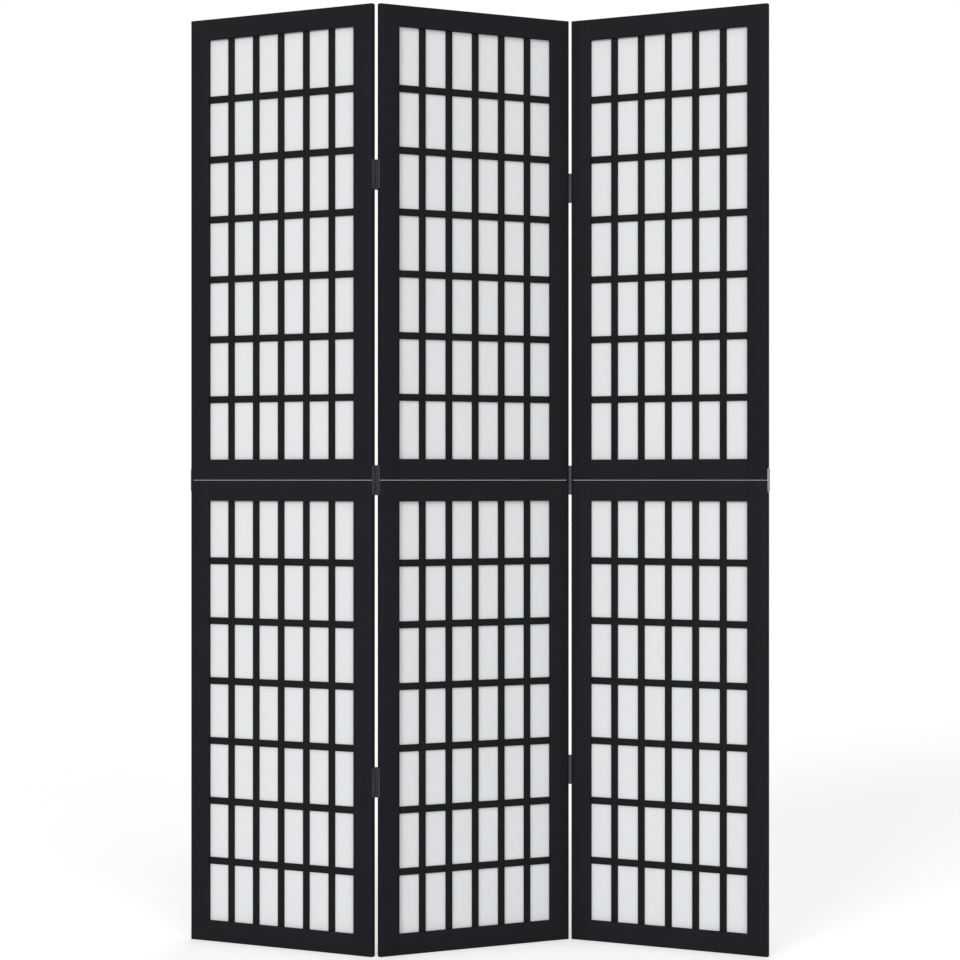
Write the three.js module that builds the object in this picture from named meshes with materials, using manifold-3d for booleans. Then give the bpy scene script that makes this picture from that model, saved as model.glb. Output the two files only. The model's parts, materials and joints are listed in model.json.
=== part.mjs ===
// A three-panel folding screen with paper panes, standing in a zigzag.
//
// Each panel is an upper and a lower half frame that meet at a thin seam. A half frame is two
// stiles and two rails, joined by open mortise and tenon joints at its corners. A groove round
// the middle of the frame's inner edges holds a sheet of paper, and a lattice of thin slats is
// glued to the front of the sheet. The slats stop a hair short of the frame.
//
// Three hinges join each pair of panels. The middle one spans the seam and also ties the upper
// half frame to the lower one. On the two free edges a flat plate with two screws does that.
//
// Units are millimetres. X runs to the right along the screen, Y away from the viewer and Z up.
// The origin is on the floor, at the middle of the screen's bounding box. Inside a panel, x runs
// along its width from its left edge, y from its front face to its back face, and z up.

import * as THREE from 'three';
import { mergeVertices } from 'three/addons/utils/BufferGeometryUtils.js';
import Module from 'manifold-3d';

const wasm = await Module();
wasm.setup();

// ---- Driving dimensions ----------------------------------------------------------------------

// Panels
const panelWidth = 365;
const panelHeight = 1650;
const frameThickness = 11;
const stileWidth = 36.75;
const railWidth = 36.75;
const arris = 0.5;
const seamGap = 0.4;
const foldAngle = THREE.MathUtils.degToRad(24.25);

// Lattice
const columns = 6;
const rows = 7;
const slatWidth = 12.25;
const slatThickness = 3;
const latticeRecess = 3;
const slatEndGap = 0.3;
const endRowExtra = 6;

// Paper and its groove
const paperThickness = 0.5;
const paperInsert = 4;
const grooveDepth = 5;

// Corner joints
const tenonLength = 16;
const tenonThickness = 4;
const tenonShoulder = 7;

// Gap left between pieces that are glued, screwed or slid together
const fitGap = 0.25;

// Hinges
const hingeHeight = 50.8;
const leafThickness = 0.7;
const leafWidth = 10.4;
const pinRadius = 1.8;
const pinClearance = 0.15;
const knuckleWall = 1;
const knuckleCount = 5;
const knuckleGap = 0.3;
const leafGap = 0.2;
const barrelStandOff = 0.15;
const barrelRelief = 0.35;
const pinHeadRadius = 2.5;
const pinHeadHeight = 0.5;
const hingeScrewSpacing = 38;

// Tie plates on the free edges
const plateHeight = 44.5;
const plateWidth = 10;
const plateThickness = 1;
const plateScrewSpacing = 33;

// Countersunk wood screws
const screwLength = 16;
const screwRadius = 1.4;
const screwPoint = 4;
const screwHeadRadius = 2.4;
const crossWidth = 0.8;
const crossLength = 3.2;
const crossDepth = 0.8;

// Facets of round pieces
const roundSides = 16;
const screwSides = 8;

// ---- Sizes that follow from them ---------------------------------------------------------------

const halfHeight = (panelHeight - seamGap) / 2;
const cellWidth = (panelWidth - 2 * stileWidth - (columns - 1) * slatWidth) / columns;
const openingHeight = halfHeight - 2 * railWidth;
const cellHeight = (openingHeight - (rows - 1) * slatWidth - 2 * endRowExtra) / rows;

const latticeBack = latticeRecess + slatThickness;
const paperFront = latticeBack + fitGap;
const paperBack = paperFront + paperThickness;
const grooveFront = paperFront - fitGap;
const grooveBack = paperBack + fitGap;

const tenonMiddle = frameThickness / 2;
const tenonFront = tenonMiddle - tenonThickness / 2;
const tenonBack = tenonMiddle + tenonThickness / 2;

const boreRadius = pinRadius + pinClearance;
const barrelRadius = boreRadius + knuckleWall;
const pinFromFace = barrelRadius + barrelStandOff;
const pinFromEdge = fitGap + leafThickness + leafGap / 2;
const knuckleHeight = (hingeHeight - (knuckleCount - 1) * knuckleGap) / knuckleCount;

const screwLine = frameThickness / 2;
const pilotRadius = screwRadius + fitGap;

// Cutting solids reach this far past the faces that they open.
const overcut = 1;

// Corners closer together than this are one corner.
const sameCorner = 1e-4;

// ---- Materials ---------------------------------------------------------------------------------

function blackPaint() {
  return new THREE.MeshStandardMaterial({ color: 0x212024, roughness: 0.62, metalness: 0 });
}

function slatPaint() {
  return new THREE.MeshStandardMaterial({ color: 0x1f2123, roughness: 0.62, metalness: 0 });
}

function whitePaper() {
  return new THREE.MeshStandardMaterial({ color: 0xe6e8ea, roughness: 0.9, metalness: 0 });
}

function paintedSteel() {
  return new THREE.MeshStandardMaterial({ color: 0x4e4d52, roughness: 0.55, metalness: 0 });
}

function zincPlate() {
  return new THREE.MeshStandardMaterial({ color: 0xb4b6b8, roughness: 0.35, metalness: 0.9 });
}

// ---- Solid helpers -----------------------------------------------------------------------------

function toSolid(geometry) {
  const bare = geometry.clone();
  bare.deleteAttribute('normal');
  bare.deleteAttribute('uv');
  const merged = mergeVertices(bare, sameCorner);
  return new wasm.Manifold(new wasm.Mesh({
    numProp: 3,
    vertProperties: new Float32Array(merged.attributes.position.array),
    triVerts: new Uint32Array(merged.index.array),
  }));
}

function toGeometry(solid) {
  const mesh = solid.getMesh();
  const geometry = new THREE.BufferGeometry();
  geometry.setAttribute('position', new THREE.BufferAttribute(mesh.vertProperties, 3));
  geometry.setIndex(new THREE.BufferAttribute(mesh.triVerts, 1));
  return geometry;
}

function joined(solids) {
  return solids.reduce((whole, piece) => whole.add(piece));
}

function cut(body, tools) {
  return tools.reduce((rest, tool) => rest.subtract(tool), body);
}

function block(x0, x1, y0, y1, z0, z1) {
  const box = new THREE.BoxGeometry(x1 - x0, y1 - y0, z1 - z0);
  box.translate((x0 + x1) / 2, (y0 + y1) / 2, (z0 + z1) / 2);
  return toSolid(box);
}

// A turned solid about the Z axis from a profile of [radius, height] pairs that starts and ends
// on the axis.
function turned(profile, sides) {
  const points = profile.map(([radius, height]) => new THREE.Vector2(radius, height));
  const lathe = new THREE.LatheGeometry(points, sides);
  lathe.rotateX(Math.PI / 2);
  return lathe;
}

function round(radius, z0, z1, sides) {
  return toSolid(turned([[0, z0], [radius, z0], [radius, z1], [0, z1]], sides));
}

function named(name, geometry, material) {
  const mesh = new THREE.Mesh(geometry, material);
  mesh.name = name;
  return mesh;
}

// ---- Screws ------------------------------------------------------------------------------------

// The screw lies along Z with the top of its head at 0 and its point below. The head tapers at
// 45 degrees down to the shank.
function screwBlank() {
  return toSolid(turned([
    [0, -screwLength],
    [screwRadius, screwPoint - screwLength],
    [screwRadius, screwRadius - screwHeadRadius],
    [screwHeadRadius, 0],
    [0, 0],
  ], screwSides));
}

function crossRecess() {
  const half = crossWidth / 2;
  const reach = crossLength / 2;
  return joined([
    block(-half, half, -reach, reach, -crossDepth, overcut),
    block(-reach, reach, -half, half, -crossDepth, overcut),
  ]);
}

// Lays an upright solid along X, with what was below it on the towards side.
function alongX(solid, towards) {
  return solid.rotate([0, -towards * 90, 0]);
}

// ---- Frame members -----------------------------------------------------------------------------

// The members' cross section, from its outer edge to its inner edge, with the outer edge's two
// corners eased.
function memberSection(outer, inner) {
  const ease = outer + Math.sign(inner - outer) * arris;
  return new THREE.Shape([
    new THREE.Vector2(inner, 0),
    new THREE.Vector2(inner, frameThickness),
    new THREE.Vector2(ease, frameThickness),
    new THREE.Vector2(outer, frameThickness - arris),
    new THREE.Vector2(outer, arris),
    new THREE.Vector2(ease, 0),
  ]);
}

function extruded(shape, depth) {
  return new THREE.ExtrudeGeometry(shape, { depth, bevelEnabled: false, steps: 1 });
}

// A stile stands on z = bottom. screwHeights are the heights of the screws in its outer edge, and
// those that miss this stile are skipped.
function stile(side, bottom, screwHeights) {
  const outer = side === 'left' ? 0 : panelWidth;
  const inward = side === 'left' ? 1 : -1;
  const inner = outer + inward * stileWidth;
  const top = bottom + halfHeight;

  const bar = extruded(memberSection(outer, inner), halfHeight);
  bar.translate(0, 0, bottom);

  const span = (from, to) => [Math.min(from, to), Math.max(from, to)];
  const past = inner + inward * overcut;
  const groove = block(
    ...span(inner - inward * grooveDepth, past), grooveFront, grooveBack,
    bottom + railWidth - grooveDepth, top - railWidth + grooveDepth,
  );
  const mortise = (z0, z1) => block(
    ...span(inner - inward * (tenonLength + fitGap), past),
    tenonFront - fitGap, tenonBack + fitGap, z0, z1,
  );
  const pilots = screwHeights
    .filter((height) => height > bottom && height < top)
    .map((height) => alongX(round(pilotRadius, -overcut, screwLength + fitGap, screwSides), -inward)
      .translate([outer, screwLine, height]));

  return cut(toSolid(bar), [
    groove,
    mortise(bottom - overcut, bottom + railWidth - tenonShoulder + fitGap),
    mortise(top - railWidth + tenonShoulder - fitGap, top + overcut),
    ...pilots,
  ]);
}

// A rail lies between the stiles. outer and inner are the heights of its outer and inner edges.
function rail(outer, inner) {
  const inward = Math.sign(inner - outer);
  const left = stileWidth + fitGap;
  const right = panelWidth - stileWidth - fitGap;

  const bar = extruded(memberSection(-outer, -inner), right - left);
  bar.rotateY(Math.PI / 2);
  bar.translate(left, 0, 0);

  const low = Math.min(outer, inner - inward * tenonShoulder);
  const high = Math.max(outer, inner - inward * tenonShoulder);
  const tenon = block(
    stileWidth - tenonLength, panelWidth - stileWidth + tenonLength, tenonFront, tenonBack,
    low, high,
  );
  const groove = block(
    left - overcut, right + overcut, grooveFront, grooveBack,
    Math.min(inner - inward * grooveDepth, inner + inward * overcut),
    Math.max(inner - inward * grooveDepth, inner + inward * overcut),
  );
  return cut(toSolid(bar), [groove]).add(tenon);
}

// ---- Lattice and paper -------------------------------------------------------------------------

function lattice(bottom) {
  const low = bottom + railWidth + slatEndGap;
  const high = bottom + halfHeight - railWidth - slatEndGap;
  const left = stileWidth + slatEndGap;
  const right = panelWidth - stileWidth - slatEndGap;
  const slats = [];
  for (let column = 1; column < columns; column += 1) {
    const x = stileWidth + column * cellWidth + (column - 1) * slatWidth;
    slats.push(block(x, x + slatWidth, latticeRecess, latticeBack, low, high));
  }
  for (let row = 1; row < rows; row += 1) {
    const z = bottom + railWidth + endRowExtra + row * cellHeight + (row - 1) * slatWidth;
    slats.push(block(left, right, latticeRecess, latticeBack, z, z + slatWidth));
  }
  return joined(slats);
}

function paper(bottom) {
  const x0 = stileWidth - paperInsert;
  const x1 = panelWidth - stileWidth + paperInsert;
  const z0 = bottom + railWidth - paperInsert;
  const z1 = bottom + halfHeight - railWidth + paperInsert;
  return block(x0, x1, paperFront, paperBack, z0, z1);
}

// ---- Hinges ------------------------------------------------------------------------------------

// Both leaves have the pin on the Z axis, the stile's edge on the +X side of it and the panel's
// thickness along +Y. Knuckles are counted from the bottom, and a leaf has every other one.
function hingeLeaf(firstKnuckle) {
  const plateNear = leafGap / 2;
  const plateFar = plateNear + leafThickness;
  const clearOfBarrel = barrelRadius + barrelRelief;
  const bottom = -hingeHeight / 2;
  const pieces = [block(plateNear, plateFar, clearOfBarrel, clearOfBarrel + leafWidth, bottom, -bottom)];
  for (let knuckle = firstKnuckle; knuckle < knuckleCount; knuckle += 2) {
    const z0 = bottom + knuckle * (knuckleHeight + knuckleGap);
    const z1 = z0 + knuckleHeight;
    pieces.push(round(barrelRadius, z0, z1, roundSides));
    pieces.push(block(plateNear, plateFar, 0, clearOfBarrel + overcut, z0, z1));
  }
  const bore = round(boreRadius, bottom - overcut, -bottom + overcut, roundSides);
  const leaf = joined(pieces).subtract(bore);

  // The screws are one solid with the leaf that they hold.
  const screwY = pinFromFace + screwLine;
  const atScrews = (solid) => [-1, 1].map((side) => alongX(solid, 1)
    .translate([plateNear, screwY, side * hingeScrewSpacing / 2]));
  return cut(joined([leaf, ...atScrews(screwBlank())]), atScrews(crossRecess()));
}

function hingePin() {
  const seat = hingeHeight / 2 + knuckleGap;
  const top = seat + pinHeadHeight;
  const crown = pinHeadRadius - pinHeadHeight;
  return turned([
    [0, -top], [crown, -top], [pinHeadRadius, -seat], [pinRadius, -seat],
    [pinRadius, seat], [pinHeadRadius, seat], [crown, top], [0, top],
  ], roundSides);
}

// ---- Tie plate ---------------------------------------------------------------------------------

// The plate is upright, with its back on x = 0 and its front facing +X.
function tiePlate() {
  const radius = plateWidth / 2;
  const straight = plateHeight / 2 - radius;
  const outline = new THREE.Shape();
  outline.absarc(0, straight, radius, 0, Math.PI, false);
  outline.absarc(0, -straight, radius, Math.PI, 2 * Math.PI, false);
  outline.closePath();
  const flat = new THREE.ExtrudeGeometry(outline, {
    depth: plateThickness, bevelEnabled: false, steps: 1, curveSegments: roundSides / 2,
  });
  flat.rotateX(Math.PI / 2);
  flat.rotateZ(Math.PI / 2);

  // Each hole is a countersink that keeps its gap all round the screw's head and shank.
  const mouth = screwHeadRadius + fitGap;
  const hole = [
    [0, -plateThickness - overcut],
    [mouth - plateThickness, -plateThickness - overcut],
    [mouth - plateThickness, -plateThickness],
    [mouth, 0],
    [mouth, overcut],
    [0, overcut],
  ];
  const holes = [-1, 1].map((side) => alongX(toSolid(turned(hole, screwSides)), -1)
    .translate([plateThickness, 0, side * plateScrewSpacing / 2]));
  return cut(toSolid(flat), holes);
}

function plateScrew() {
  return alongX(screwBlank().subtract(crossRecess()), -1);
}

// ---- Assembly ----------------------------------------------------------------------------------

// The two joints' hinges differ in height by a few millimetres.
const hingeHeights = {
  left: { bottom: 301, seam: panelHeight / 2, top: panelHeight - 295 },
  right: { bottom: 305.5, seam: panelHeight / 2, top: panelHeight - 300.5 },
};

const hingeScrews = (side) => Object.values(hingeHeights[side])
  .flatMap((height) => [height - hingeScrewSpacing / 2, height + hingeScrewSpacing / 2]);

const plateScrews = [-1, 1].map((side) => (panelHeight + side * plateScrewSpacing) / 2);

// What holds each edge of each panel, which gives the screw holes in its stiles.
const edgeScrews = {
  left: { left: plateScrews, right: hingeScrews('left') },
  middle: { left: hingeScrews('left'), right: hingeScrews('right') },
  right: { left: hingeScrews('right'), right: plateScrews },
};

function panel(name) {
  const group = new THREE.Group();
  const halves = { lower: 0, upper: panelHeight - halfHeight };
  for (const [half, bottom] of Object.entries(halves)) {
    const prefix = `${name}_${half}`;
    const top = bottom + halfHeight;
    const screws = edgeScrews[name];
    group.add(
      named(`${prefix}_left_stile`, toGeometry(stile('left', bottom, screws.left)), blackPaint()),
      named(`${prefix}_right_stile`, toGeometry(stile('right', bottom, screws.right)), blackPaint()),
      named(`${prefix}_bottom_rail`, toGeometry(rail(bottom, bottom + railWidth)), blackPaint()),
      named(`${prefix}_top_rail`, toGeometry(rail(top, top - railWidth)), blackPaint()),
      named(`${prefix}_lattice`, toGeometry(lattice(bottom)), slatPaint()),
      named(`${prefix}_paper`, toGeometry(paper(bottom)), whitePaper()),
    );
  }
  return group;
}

const panels = {
  left: panel('left'),
  middle: panel('middle'),
  right: panel('right'),
};

// Where each joint's pin line lies in the two panels that it joins. The left joint has its pins
// behind the panels, and the right joint has them in front, so the panels fold both ways.
const behind = frameThickness + pinFromFace;
const inFront = -pinFromFace;
const joints = {
  left: {
    middle: new THREE.Vector2(-pinFromEdge, behind),
    side: new THREE.Vector2(panelWidth + pinFromEdge, behind),
    middleTurn: [Math.PI, 0, 0],
    sideTurn: [0, 0, Math.PI],
  },
  right: {
    middle: new THREE.Vector2(panelWidth + pinFromEdge, inFront),
    side: new THREE.Vector2(-pinFromEdge, inFront),
    middleTurn: [0, Math.PI, 0],
    sideTurn: [0, 0, 0],
  },
};

function turnedPoint(point, angle) {
  return point.clone().rotateAround(new THREE.Vector2(0, 0), angle);
}

const screen = new THREE.Group();
panels.middle.rotation.z = foldAngle;
screen.add(panels.middle);

for (const [side, joint] of Object.entries(joints)) {
  const sidePanel = panels[side];
  const place = turnedPoint(joint.middle, foldAngle).sub(turnedPoint(joint.side, -foldAngle));
  sidePanel.rotation.z = -foldAngle;
  sidePanel.position.set(place.x, place.y, 0);
  screen.add(sidePanel);

  for (const [level, height] of Object.entries(hingeHeights[side])) {
    const prefix = `${side}_joint_${level}_hinge`;
    const onMiddle = named(`${prefix}_middle_leaf`, toGeometry(hingeLeaf(0)), paintedSteel());
    onMiddle.rotation.set(...joint.middleTurn);
    onMiddle.position.set(joint.middle.x, joint.middle.y, height);

    const onSide = named(`${prefix}_side_leaf`, toGeometry(hingeLeaf(1)), paintedSteel());
    onSide.rotation.set(...joint.sideTurn);
    onSide.position.set(joint.side.x, joint.side.y, height);

    const pin = named(`${prefix}_pin`, hingePin(), paintedSteel());
    pin.position.set(joint.middle.x, joint.middle.y, height);

    panels.middle.add(onMiddle, pin);
    sidePanel.add(onSide);
  }

  // The free edge is the one away from the joint.
  const outward = side === 'left' ? -1 : 1;
  const edge = side === 'left' ? 0 : panelWidth;
  const seat = edge + outward * fitGap;
  const turn = side === 'left' ? Math.PI : 0;
  const plate = named(`${side}_edge_tie_plate`, toGeometry(tiePlate()), zincPlate());
  plate.rotation.z = turn;
  plate.position.set(seat, screwLine, panelHeight / 2);
  sidePanel.add(plate);
  const ends = { lower: plateScrews[0], upper: plateScrews[1] };
  for (const [end, height] of Object.entries(ends)) {
    const screw = named(
      `${side}_edge_${end}_plate_screw`, toGeometry(plateScrew()), zincPlate(),
    );
    screw.rotation.z = turn;
    screw.position.set(seat + outward * plateThickness, screwLine, height);
    sidePanel.add(screw);
  }
}

// Centre the whole screen over the origin.
screen.updateMatrixWorld(true);
const middleOfBox = new THREE.Box3().setFromObject(screen, true).getCenter(new THREE.Vector3());
screen.position.set(-middleOfBox.x, -middleOfBox.y, 0);
screen.updateMatrixWorld(true);

export default screen;
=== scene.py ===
# %% [markdown]
# # A folding screen with paper panes
#
# The real screen has three hinged panels of black painted wood. Each panel is two half frames,
# one above the other, with a lattice of thin slats over white paper. This lesson builds its
# visible surfaces round a frame of measured parts: every piece here takes the place of one part
# of the frame, in the same position, and moves with the same panel.

# %% Load the frame
import math
import json
import random

import bmesh
import bpy
from mathutils import Matrix, Vector


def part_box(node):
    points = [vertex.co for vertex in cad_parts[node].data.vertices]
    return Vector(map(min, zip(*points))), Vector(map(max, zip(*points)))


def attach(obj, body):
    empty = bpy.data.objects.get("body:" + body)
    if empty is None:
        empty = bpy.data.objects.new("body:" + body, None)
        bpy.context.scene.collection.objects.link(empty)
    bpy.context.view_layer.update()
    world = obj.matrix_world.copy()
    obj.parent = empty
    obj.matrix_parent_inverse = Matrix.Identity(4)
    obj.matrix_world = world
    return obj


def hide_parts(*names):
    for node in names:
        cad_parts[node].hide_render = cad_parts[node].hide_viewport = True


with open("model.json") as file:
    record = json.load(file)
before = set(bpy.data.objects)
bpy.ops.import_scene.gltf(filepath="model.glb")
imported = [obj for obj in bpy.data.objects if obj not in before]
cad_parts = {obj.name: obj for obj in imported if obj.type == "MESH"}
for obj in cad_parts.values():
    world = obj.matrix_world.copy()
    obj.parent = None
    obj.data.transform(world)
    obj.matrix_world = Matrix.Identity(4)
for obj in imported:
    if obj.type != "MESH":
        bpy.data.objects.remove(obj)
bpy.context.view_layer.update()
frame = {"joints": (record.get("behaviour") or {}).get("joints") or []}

# %% [markdown]
# ## Sizes
#
# All sizes are in millimetres, as a joiner would write them, and `MM` turns them into Blender's
# metres. Inside a panel, x runs along its width from the left edge, y from the front face to the
# back face, and z upwards from the floor. The picture holds no ruler, so the height is assumed
# and the other sizes follow from it. The picture leaves the panels' width open by about 10 mm
# either way, their thickness between 10 and 16 mm and the fold between 20 and 27.5 degrees.

# %% The sizes of the screen
MM = 0.001

PANEL_WIDTH = 365
PANEL_HEIGHT = 1650
THICKNESS = 11
STILE_WIDTH = 36.75
RAIL_WIDTH = 36.75
SEAM_GAP = 0.4
HALF_HEIGHT = (PANEL_HEIGHT - SEAM_GAP) / 2
FOLD = math.radians(24.25)

HALVES = {"lower": 0, "upper": PANEL_HEIGHT - HALF_HEIGHT}
OPENING_WIDTH = PANEL_WIDTH - 2 * STILE_WIDTH
OPENING_HEIGHT = HALF_HEIGHT - 2 * RAIL_WIDTH

PIN_FROM_EDGE = 1.05
PIN_FROM_FACE = 3.1

# %% [markdown]
# ## Where each panel stands
#
# The frame knows the two fold lines. A panel's left edge follows from its fold line, because the
# hinge pin lies a known distance beyond the panel's edge and face. The left fold line is behind
# the panels and the right one in front, so the screen folds into a letter Z.

# %% Work out the three panels' places
joint_at = {joint["name"]: Vector(joint["pos_m"]) for joint in frame["joints"]}
left_pin = Vector((joint_at["left_fold"].x, joint_at["left_fold"].y, 0))
right_pin = Vector((joint_at["right_fold"].x, joint_at["right_fold"].y, 0))


def panel_place(pin, pin_in_panel, angle):
    """The matrix that carries a panel's own coordinates to its place in the screen."""
    turn = Matrix.Rotation(angle, 4, "Z")
    return Matrix.Translation(pin - turn @ (Vector(pin_in_panel) * MM)) @ turn


BEHIND = THICKNESS + PIN_FROM_FACE
PLACES = {
    "left": panel_place(left_pin, (PANEL_WIDTH + PIN_FROM_EDGE, BEHIND, 0), -FOLD),
    "middle": panel_place(left_pin, (-PIN_FROM_EDGE, BEHIND, 0), FOLD),
    "right": panel_place(right_pin, (-PIN_FROM_EDGE, -PIN_FROM_FACE, 0), -FOLD),
}
for panel, place in PLACES.items():
    print(panel, "panel starts at", [round(x, 4) for x in place.translation])

# %% [markdown]
# ## The camera
#
# The picture was taken from straight in front, with the lens level with the middle of the screen.
# The near edges are about 4 % taller in it than the far ones. Together with the widths of the
# gaps and the edge faces that show, that narrows down the fold and the distance. The two trade
# off: a flatter screen with a nearer camera looks nearly the same. The picture is square, and an
# 81.5 mm lens on a 36 mm wide sensor frames the screen from top to bottom.

# %% Place the camera
CAMERA_X = 8.9
CAMERA_HEIGHT = 825.3
CAMERA_DISTANCE = 3835.8
LENS = 81.46

camera_data = bpy.data.cameras.new("camera")
camera_data.sensor_width = 36
camera_data.lens = LENS
camera = bpy.data.objects.new("camera", camera_data)
camera.location = Vector((CAMERA_X, -CAMERA_DISTANCE, CAMERA_HEIGHT)) * MM
camera.rotation_euler = (math.pi / 2, 0, 0)
bpy.context.scene.collection.objects.link(camera)
bpy.context.scene.camera = camera
bpy.context.scene.view_settings.view_transform = "Standard"

# %% [markdown]
# ## Helpers for modelling
#
# Every new mesh starts from a primitive, and is shaped in edit mode. These few helpers do by
# code what a hand does in the viewport: deselect, pick faces or edges by their place, cut, push
# and cut away. Blender's operators act on whatever is selected, so each helper deselects first.


# %% Start, open and close a piece
def only(*pieces):
    """Selects these pieces and nothing else. The first is the active one."""
    bpy.ops.object.select_all(action="DESELECT")
    for piece in pieces:
        piece.select_set(True)
    bpy.context.view_layer.objects.active = pieces[0]


def settle(name):
    """Names the primitive just added and moves its place into its mesh."""
    bpy.ops.object.transform_apply(location=True, rotation=True, scale=True)
    piece = bpy.context.object
    piece.name = name
    piece.data.name = name
    return piece


def block(name, low, high):
    """A box between two corners, in millimetres."""
    low, high = Vector(low) * MM, Vector(high) * MM
    bpy.ops.object.select_all(action="DESELECT")
    bpy.ops.mesh.primitive_cube_add(size=1, location=(low + high) / 2)
    bpy.context.object.scale = high - low
    return settle(name)


def rod(name, radius, low, high, sides=32):
    """A cylinder along z, in millimetres."""
    bpy.ops.object.select_all(action="DESELECT")
    bpy.ops.mesh.primitive_cylinder_add(
        vertices=sides,
        radius=radius * MM,
        depth=(high - low) * MM,
        location=(0, 0, (low + high) / 2 * MM),
    )
    return settle(name)


# %% Pick, bevel, cut and push in edit mode
def pick(piece, kind, wanted):
    """Opens a piece in edit mode with just the wanted edges or faces selected.

    wanted is a test of an element's middle, in millimetres, and its direction.
    """
    only(piece)
    bpy.context.tool_settings.mesh_select_mode = (False, kind == "edges", kind == "faces")
    bpy.ops.object.mode_set(mode="EDIT")
    bpy.ops.mesh.select_all(action="DESELECT")
    mesh = bmesh.from_edit_mesh(piece.data)
    for item in getattr(mesh, kind):
        middle = sum((vert.co for vert in item.verts), Vector()) / len(item.verts) / MM
        if kind == "faces":
            direction = item.normal
        else:
            direction = (item.verts[1].co - item.verts[0].co).normalized()
        item.select_set(wanted(middle, direction))
    bmesh.update_edit_mesh(piece.data)


def close_edit():
    bpy.ops.object.mode_set(mode="OBJECT")


def ease(piece, radius, segments, wanted):
    """Rounds the wanted edges."""
    pick(piece, "edges", wanted)
    bpy.ops.mesh.bevel(offset=radius * MM, segments=segments, affect="EDGES")
    close_edit()


def score(piece, axis, places):
    """Cuts new edges right round a piece where it crosses these places on an axis."""
    normal = Vector([axis == name for name in "xyz"])
    for place in places:
        pick(piece, "faces", lambda middle, direction: True)
        bpy.ops.mesh.bisect(plane_co=normal * place * MM, plane_no=normal)
        close_edit()


def push(piece, shift, wanted):
    """Extrudes the wanted faces by a shift in millimetres."""
    pick(piece, "faces", wanted)
    bpy.ops.mesh.extrude_region_move(
        TRANSFORM_OT_translate={"value": Vector(shift) * MM}
    )
    close_edit()


# %% Finish with modifiers
def apply_modifier(piece, kind, **settings):
    """Adds a modifier, sets it and applies it."""
    only(piece)
    modifier = piece.modifiers.new(kind.lower(), kind)
    for name, value in settings.items():
        setattr(modifier, name, value)
    bpy.ops.object.modifier_apply(modifier=modifier.name)


def carve(piece, *cutters):
    """Cuts the cutters' shapes out of a piece and throws the cutters away."""
    for cutter in cutters:
        apply_modifier(piece, "BOOLEAN", object=cutter, operation="DIFFERENCE", solver="EXACT")
        bpy.data.objects.remove(cutter)


def join(name, *pieces):
    """Joins pieces into one object that keeps them as separate shells."""
    only(*pieces)
    bpy.ops.object.join()
    pieces[0].name = name
    pieces[0].data.name = name
    return pieces[0]


def smooth(piece, degrees=35):
    only(piece)
    bpy.ops.object.shade_smooth_by_angle(angle=math.radians(degrees))


def copy_of(piece, name):
    """A copy with its own mesh."""
    twin = piece.copy()
    twin.data = piece.data.copy()
    twin.name = name
    twin.data.name = name
    bpy.context.scene.collection.objects.link(twin)
    return twin


def carry(piece, matrix):
    """Moves a piece's mesh, and leaves its object at the origin."""
    piece.data.transform(matrix)
    piece.data.update()


# %% Stand a finished piece in for a part of the frame
BODIES = {"left": "left_panel", "middle": "middle_panel", "right": "right_panel"}
misfits = {}


def stand_in(piece, node, panel, material):
    """Gives a piece its material, its panel and the frame part that it replaces."""
    piece.data.materials.clear()
    piece.data.materials.append(material)
    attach(piece, BODIES[panel])
    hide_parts(node)
    low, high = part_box(node)
    for corner, reach in ((low, min), (high, max)):
        for axis in range(3):
            place = reach(vert.co[axis] for vert in piece.data.vertices)
            misfits[node] = max(misfits.get(node, 0), abs(place - corner[axis]) / MM)


# %% [markdown]
# ## Helpers for materials
#
# A colour is written as the sRGB hex value that a paint card shows, and one function turns it
# into the linear light that Blender mixes. A second one adds a node with its settings and links,
# so that a material reads from top to bottom like a recipe.


# %% Colours and nodes
def linear(hex_colour):
    """The linear RGBA of an sRGB hex value."""
    parts = [int(hex_colour[i : i + 2], 16) / 255 for i in (1, 3, 5)]
    light = [p / 12.92 if p <= 0.04045 else ((p + 0.055) / 1.055) ** 2.4 for p in parts]
    return (*light, 1)


def new_material(name):
    """An empty material, its node tree, and a Principled surface wired to the output."""
    material = bpy.data.materials.new(name)
    material.use_nodes = True
    tree = material.node_tree
    tree.nodes.clear()
    surface = node(tree, "ShaderNodeBsdfPrincipled")
    node(tree, "ShaderNodeOutputMaterial", Surface=surface.outputs["BSDF"])
    return material, tree, surface


def node(tree, kind, settings=None, **inputs):
    """Adds a node. Inputs are values, or the outputs of other nodes."""
    made = tree.nodes.new(kind)
    for name, value in (settings or {}).items():
        setattr(made, name, value)
    for name, value in inputs.items():
        socket = made.inputs[int(name[1:])] if name[0] == "_" else made.inputs[name.replace("_", " ")]
        if isinstance(value, bpy.types.NodeSocket):
            tree.links.new(value, socket)
        else:
            socket.default_value = value
    return made


def show(tree, shader):
    """Wires a shader to the material's output in place of the plain surface."""
    output = next(n for n in tree.nodes if n.type == "OUTPUT_MATERIAL")
    tree.links.new(shader, output.inputs["Surface"])


def ramp(tree, factor, low, high, colours):
    """A colour ramp between two places on its factor."""
    made = node(tree, "ShaderNodeValToRGB", Fac=factor)
    for element, place, colour in zip(made.color_ramp.elements, (low, high), colours):
        element.position = place
        element.color = linear(colour)
    return made.outputs["Color"]


def scaled(tree, value, low, high, to_low, to_high):
    """Carries one range of numbers to another."""
    made = node(
        tree, "ShaderNodeMapRange", {"clamp": True},
        Value=value, From_Min=low, From_Max=high, To_Min=to_low, To_Max=to_high,
    )
    return made.outputs["Result"]


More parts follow.
